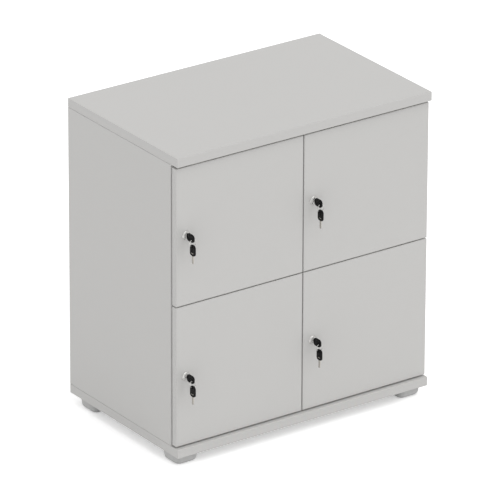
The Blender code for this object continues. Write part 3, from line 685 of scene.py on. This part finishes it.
def cut(made, rows):
    """The piece with a shell taken out of it."""
    tool = surface(made.name + "_tool", [(rows, 0, False)], list(made.data.materials)[:1])
    taking = made.modifiers.new("cut", "BOOLEAN")
    taking.operation = "DIFFERENCE"
    taking.solver = "EXACT"
    taking.object = tool
    graph = bpy.context.evaluated_depsgraph_get()
    shaped = bpy.data.meshes.new_from_object(made.evaluated_get(graph), depsgraph=graph)
    made.modifiers.clear()
    made.data = shaped
    bpy.data.objects.remove(tool)
    made.data.set_sharp_from_angle(angle=math.radians(35.0))


# Two arcs make a round end. A short straight is left between them, so that their points stay apart.
cam_round = cam_width / 2 - straight_left
cam_shape = spaced(outline([
    (cam_width / 2, cam_tail, cam_round), (-cam_width / 2, cam_tail, cam_round),
    (-cam_width / 2, -cam_reach, cam_tip_corner), (cam_width / 2, -cam_reach, cam_tip_corner),
]), 96)
keyway_shape = rounded_box(keyway_width / 2, keyway_height / 2, keyway_corner, count=40, steps=4)
keyway = carried(keyway_shape, [(0.0, lock_reach + overrun), (0.0, lock_reach - keyway_depth)])

for bay in bays:
    node = "lock_plug_" + bay
    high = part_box(node)[1]
    door_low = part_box("door_" + bay)[0]
    housing_low, housing_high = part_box("lock_housing_" + bay)
    middle = (housing_low + housing_high) / 2
    spot = (middle.x, door_low.y, middle.z)
    tail = door_low.y - high.y
    plug = around(
        [plug_dot, plug_dish, plug_dish_rim, plug_radius - plug_edge, plug_radius, plug_radius, plug_dot],
        [lock_reach - plug_dish_sink, lock_reach - plug_dish_sink, lock_reach, lock_reach,
         lock_reach - plug_edge, tail + cam_thickness / 2, tail + cam_thickness / 2])
    cam_face = tail + cam_thickness
    cam = carried(cam_shape, [(cam_edge, tail), (0.0, tail + cam_edge), (0.0, cam_face - cam_edge),
                              (cam_edge, cam_face)])
    made = piece("lock_plug_body_" + bay, [(seated(plug, spot, "front"), 0, False)], [satin_nickel],
                 "plug_" + bay, "lock_nickel", node)
    cut(made, seated(keyway, spot, "front"))
    screw = seated(screw_head(radius=0.0043, rise=0.0016, sink=0.0012), (middle.x, high.y, middle.z), "back")
    piece("lock_cam_" + bay, [(seated(cam, spot, "front"), 0, False), (screw, 0, False)], [zinc],
          "plug_" + bay, "lock_nickel")


# Keys: a stamped, milled blade, nickel plated, moulded into a black plastic head. Each side has a
# sunk panel and a collar round the hole for the ring, and one has a slot onto the blade's root.
head_length, head_width, head_thickness = 0.030, 0.021, 0.005
ring_end, blade_end, edge_round = 0.0085, 0.007, 0.0010
head_panel = ((0.0040, 0.0006), (0.0032, 0.0006), (0.0026, 0.0004), (0.0022, 0.0), (edge_round, 0.0))
key_hole, hole_inset = 0.0026, 0.0055
collar_flat, collar_foot = 0.0010, 0.0013
collar_sink, collar_bed = 0.0001, 0.0012
blade_length, blade_width, blade_thickness = 0.022, 0.0070, 0.0020
blade_root, blade_step = 0.004, 0.0004
cuts, cut_pitch, cut_width, tip_bevel = (0.0012, 0.0020, 0.0008, 0.0016), 0.0038, 0.0024, 0.002
cut_steepness, fold_share = 1.3, 0.01
slot_half_length, slot_half_width, slot_from_shoulder = 0.0050, 0.0008, 0.0070
slot_foot, slot_face, slot_edge = 0.0002, 0.0003, 0.0005

moulding = Finish("key_black", (0.006, 0.006, 0.0065), 0.36, Specular_IOR_Level=0.1)
haze = moulding.noise(scale=260.0)
spark = moulding.add("TexVoronoi", {"feature": "SMOOTH_F1"}, Vector=moulding.place(), Scale=3200.0)
moulding.set("Base Color", moulding.blend(haze.over(0.6, width=0.3), (0.005, 0.005, 0.0055),
                                          (0.009, 0.009, 0.009)))
moulding.set("Roughness", 0.30 + haze * 0.16)
moulding.relief(spark, 0.000012)
blade_nickel = metal("blade_nickel", (0.45, 0.43, 0.395), roughness=0.26, brushed=0.14,
                     scale=(1.0, 0.3, 1.0))

# A key is made about its hole, thickness along x, blade towards +y and cuts towards -z. Outlines are
# drawn in the x-y plane and stood up by this turn.
upright = Matrix(((0, 0, 1, 0), (0, 1, 0, 0), (-1, 0, 0, 0), (0, 0, 0, 1)))
shoulder = head_length - hole_inset
half_head = head_thickness / 2


def key_head():
    """The head's outline, carried over the sunk panel and the round edge of both faces."""
    half = head_width / 2
    line = spaced(outline([(half, shoulder, blade_end), (-half, shoulder, blade_end),
                           (-half, -hole_inset, ring_end), (half, -hole_inset, ring_end)], 16), 112)
    over = [(inset, half_head - sink) for inset, sink in head_panel]
    over += arc(edge_round, half_head - edge_round, edge_round, 90.0, 0.0, steps=5)[1:]
    return moved(carried(line, over + [(inset, -height) for inset, height in over[::-1]]), upright)


def key_collars():
    """A ring round the hole on each face, of four corners turned about the hole."""
    radii = [key_hole, key_hole, key_hole + collar_flat, key_hole + collar_foot]
    levels = np.array([collar_bed, collar_sink, collar_sink, collar_bed])
    return [moved(around(radii, face * (half_head - levels), 40), upright) for face in (-1, 1)]


def key_blade():
    """One grooved section carried along the blade: points below the floor of the cuts, or above the
    bevelled roof, are drawn to it but for a small share of their distance, so that none coincide."""
    tip = shoulder + blade_length
    stations = np.concatenate([[shoulder - blade_root], np.arange(shoulder, tip, blade_step), [tip]])
    first = tip - tip_bevel - len(cuts) * cut_pitch
    bite = np.zeros(len(stations))
    for number, depth in enumerate(cuts):
        middle = first + number * cut_pitch + cut_width / 2
        flank = cut_steepness - np.abs(stations - middle) / (cut_width / 2) * cut_steepness
        bite = np.maximum(bite, depth * np.clip(flank, 0.0, 1.0))
    bevel = np.clip(stations - (tip - tip_bevel), 0.0, None)
    half, thick = blade_width / 2, blade_thickness / 2
    height_shares = np.array([-1.0, -0.55, -0.45, -0.05, 0.05, 0.30, 0.40, 0.80, 0.90, 1.0])
    right_shares = np.array([0.75, 1.0, 1.0, 1.0, 1.0, 1.0, 0.55, 0.55, 1.0, 0.75])
    left_shares = np.array([0.75, 1.0, 0.5, 0.5, 1.0, 1.0, 1.0, 1.0, 1.0, 0.75])
    section_z = np.concatenate([height_shares, height_shares[::-1]]) * half
    section_x = np.concatenate([right_shares, -left_shares[::-1]]) * thick
    floor_z, roof_z = (-half + bite + bevel)[:, None], (half - bevel)[:, None]
    level = np.broadcast_to(section_z, (len(stations), len(section_z)))
    level = np.where(level < floor_z, floor_z + (level - floor_z) * fold_share, level)
    level = np.where(level > roof_z, roof_z + (level - roof_z) * fold_share, level)
    wide, along = np.broadcast_to(section_x, level.shape), np.broadcast_to(stations[:, None], level.shape)
    return np.stack([wide, along, level], -1)


def key_slot():
    """The metal in the head's slot: a long round outline carried from inside the head to its face."""
    end_round = slot_half_width - straight_left
    line = rounded_box(slot_half_length, slot_half_width, end_round, count=48, steps=6)
    shape = carried(line, [(slot_edge, slot_foot), (0.0, slot_foot), (0.0, half_head - slot_edge),
                           (slot_foot, half_head - slot_face), (slot_edge, half_head - slot_face)])
    return moved(shape + (0.0, shoulder - slot_from_shoulder, 0.0), upright)


head, collars, blade, slot = key_head(), key_collars(), key_blade(), key_slot()
bore = moved(around([key_hole, key_hole], [-head_thickness - overrun, head_thickness + overrun], 40),
             facing["right"])

for bay in bays:
    for kind, rider in (("key", "key_" + bay), ("spare_key", "spare_" + bay)):
        node = f"{kind}_{bay}"
        low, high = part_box(node)
        middle = (low + high) / 2
        if kind == "key":
            seat = Matrix.Translation((middle.x, low.y + hole_inset, middle.z))
        else:
            # The spare key hangs by its hole, blade down.
            hung = Matrix.Rotation(math.pi, 4, "Z") @ facing["back"]
            seat = Matrix.Translation((middle.x, middle.y, high.z - hole_inset)) @ hung
        grip = piece(f"cut_{kind}_head_{bay}", [(moved(head, seat), 0, False)], [moulding.material], rider,
                     "key_black", node)
        cut(grip, moved(bore, seat))
        piece(f"cut_{kind}_collars_{bay}", [(moved(collar, seat), 0, True) for collar in collars],
              [moulding.material], rider, "key_black")
        piece(f"cut_{kind}_blade_{bay}", [(moved(blade, seat), 0, False), (moved(slot, seat), 0, False)],
              [blade_nickel], rider, "lock_nickel", sharp=25.0)


# Key rings: split rings of flat spring steel wire wound twice round, with a step where one
# turn passes into the other. The keys are threaded on over its ends.
ring_radius = 0.0097
ring_step = 0.45
wire_wide, wire_thick = 0.0005, 0.0004
wire_corner = 0.6
turn_gap = 0.00002
ring_steel = metal("ring_steel", (0.58, 0.575, 0.56), roughness=0.12, brushed=0.05)


def squared(wave):
    """A sine or cosine flattened towards its ends, by a power under one that keeps its sign."""
    return np.abs(wave) ** wire_corner * np.sign(wave)


turn = np.linspace(ring_step, 4 * math.pi - ring_step, 150)
lean = np.linspace(0.0, 2 * math.pi, 12, endpoint=False)
shift = np.clip((turn - 2 * math.pi) / ring_step, -1.0, 1.0) * (wire_thick + turn_gap)
reach = ring_radius + squared(np.cos(lean)) * wire_wide
across = shift[:, None] + squared(np.sin(lean)) * wire_thick
ring = np.stack([np.cos(turn)[:, None] * reach, across, np.sin(turn)[:, None] * reach], -1)

for bay in bays:
    node = "key_ring_" + bay
    low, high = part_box(node)
    rows = ring + np.array((low + high) / 2)
    piece("split_ring_" + bay, [(rows, 0, False)], [ring_steel], "ring_" + bay, "ring_steel", node)


# Studio: a wide white floor of paper under white air. One broad soft sun from high in front
# makes the top palest and the left side darkest. The camera stands far off, up on the left.
floor_white = (0.92, 0.92, 0.92)
floor_glow = (0.40, 0.40, 0.40)
floor_width = 80.0
air_level = 0.8
sun_level, sun_spread, sun_from = 0.8, 50.0, (0.08, -0.57, 0.86)
camera_lens = 463.75
camera_place = (-8.89371, -12.59532, 7.14154)
camera_turn = (66.49268, -0.19950, -35.10962)

bpy.ops.mesh.primitive_plane_add(size=floor_width)
floor = bpy.context.object
floor.name = "floor"
floor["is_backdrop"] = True


def looked_at(tree):
    """1 for the rays of the camera, of glossy reflections and of transmission, else 0."""
    rays = tree.nodes.new("ShaderNodeLightPath")
    seen, mirrored, through = (Level(rays.outputs[f"Is {word} Ray"])
                               for word in ("Camera", "Glossy", "Transmission"))
    return seen.most(mirrored).most(through)


paper = Finish("floor_paper", floor_white, 0.9, Specular_IOR_Level=0.0, Emission_Strength=1.0)
paper.set("Emission Color", paper.blend(looked_at(paper.tree), (0.0, 0.0, 0.0), floor_glow))
floor.data.materials.append(paper.material)

air = bpy.data.worlds.new("white_air")
bpy.context.scene.world = air
air.use_nodes = True
sky = air.node_tree.nodes["Background"]
sky.inputs["Color"].default_value = (1.0, 1.0, 1.0, 1.0)
strength = looked_at(air.node_tree) * (1.0 - air_level) + air_level
air.node_tree.links.new(strength.socket, sky.inputs["Strength"])

sun = bpy.data.lights.new("soft_sun", "SUN")
sun.angle = math.radians(sun_spread)
sun.energy = sun_level
lamp = bpy.data.objects.new("soft_sun", sun)
bpy.context.scene.collection.objects.link(lamp)
lamp.rotation_euler = Vector(sun_from).to_track_quat("Z", "Y").to_euler()

view = bpy.data.cameras.new("view")
view.lens = camera_lens
view.sensor_width = 36.0
view.clip_start, view.clip_end = 1.0, 100.0
camera = bpy.data.objects.new("view", view)
bpy.context.scene.collection.objects.link(camera)
camera.location = camera_place
camera.rotation_euler = Euler([math.radians(turn) for turn in camera_turn])
bpy.context.scene.camera = camera
bpy.context.scene.view_settings.view_transform = "Standard"

low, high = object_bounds()
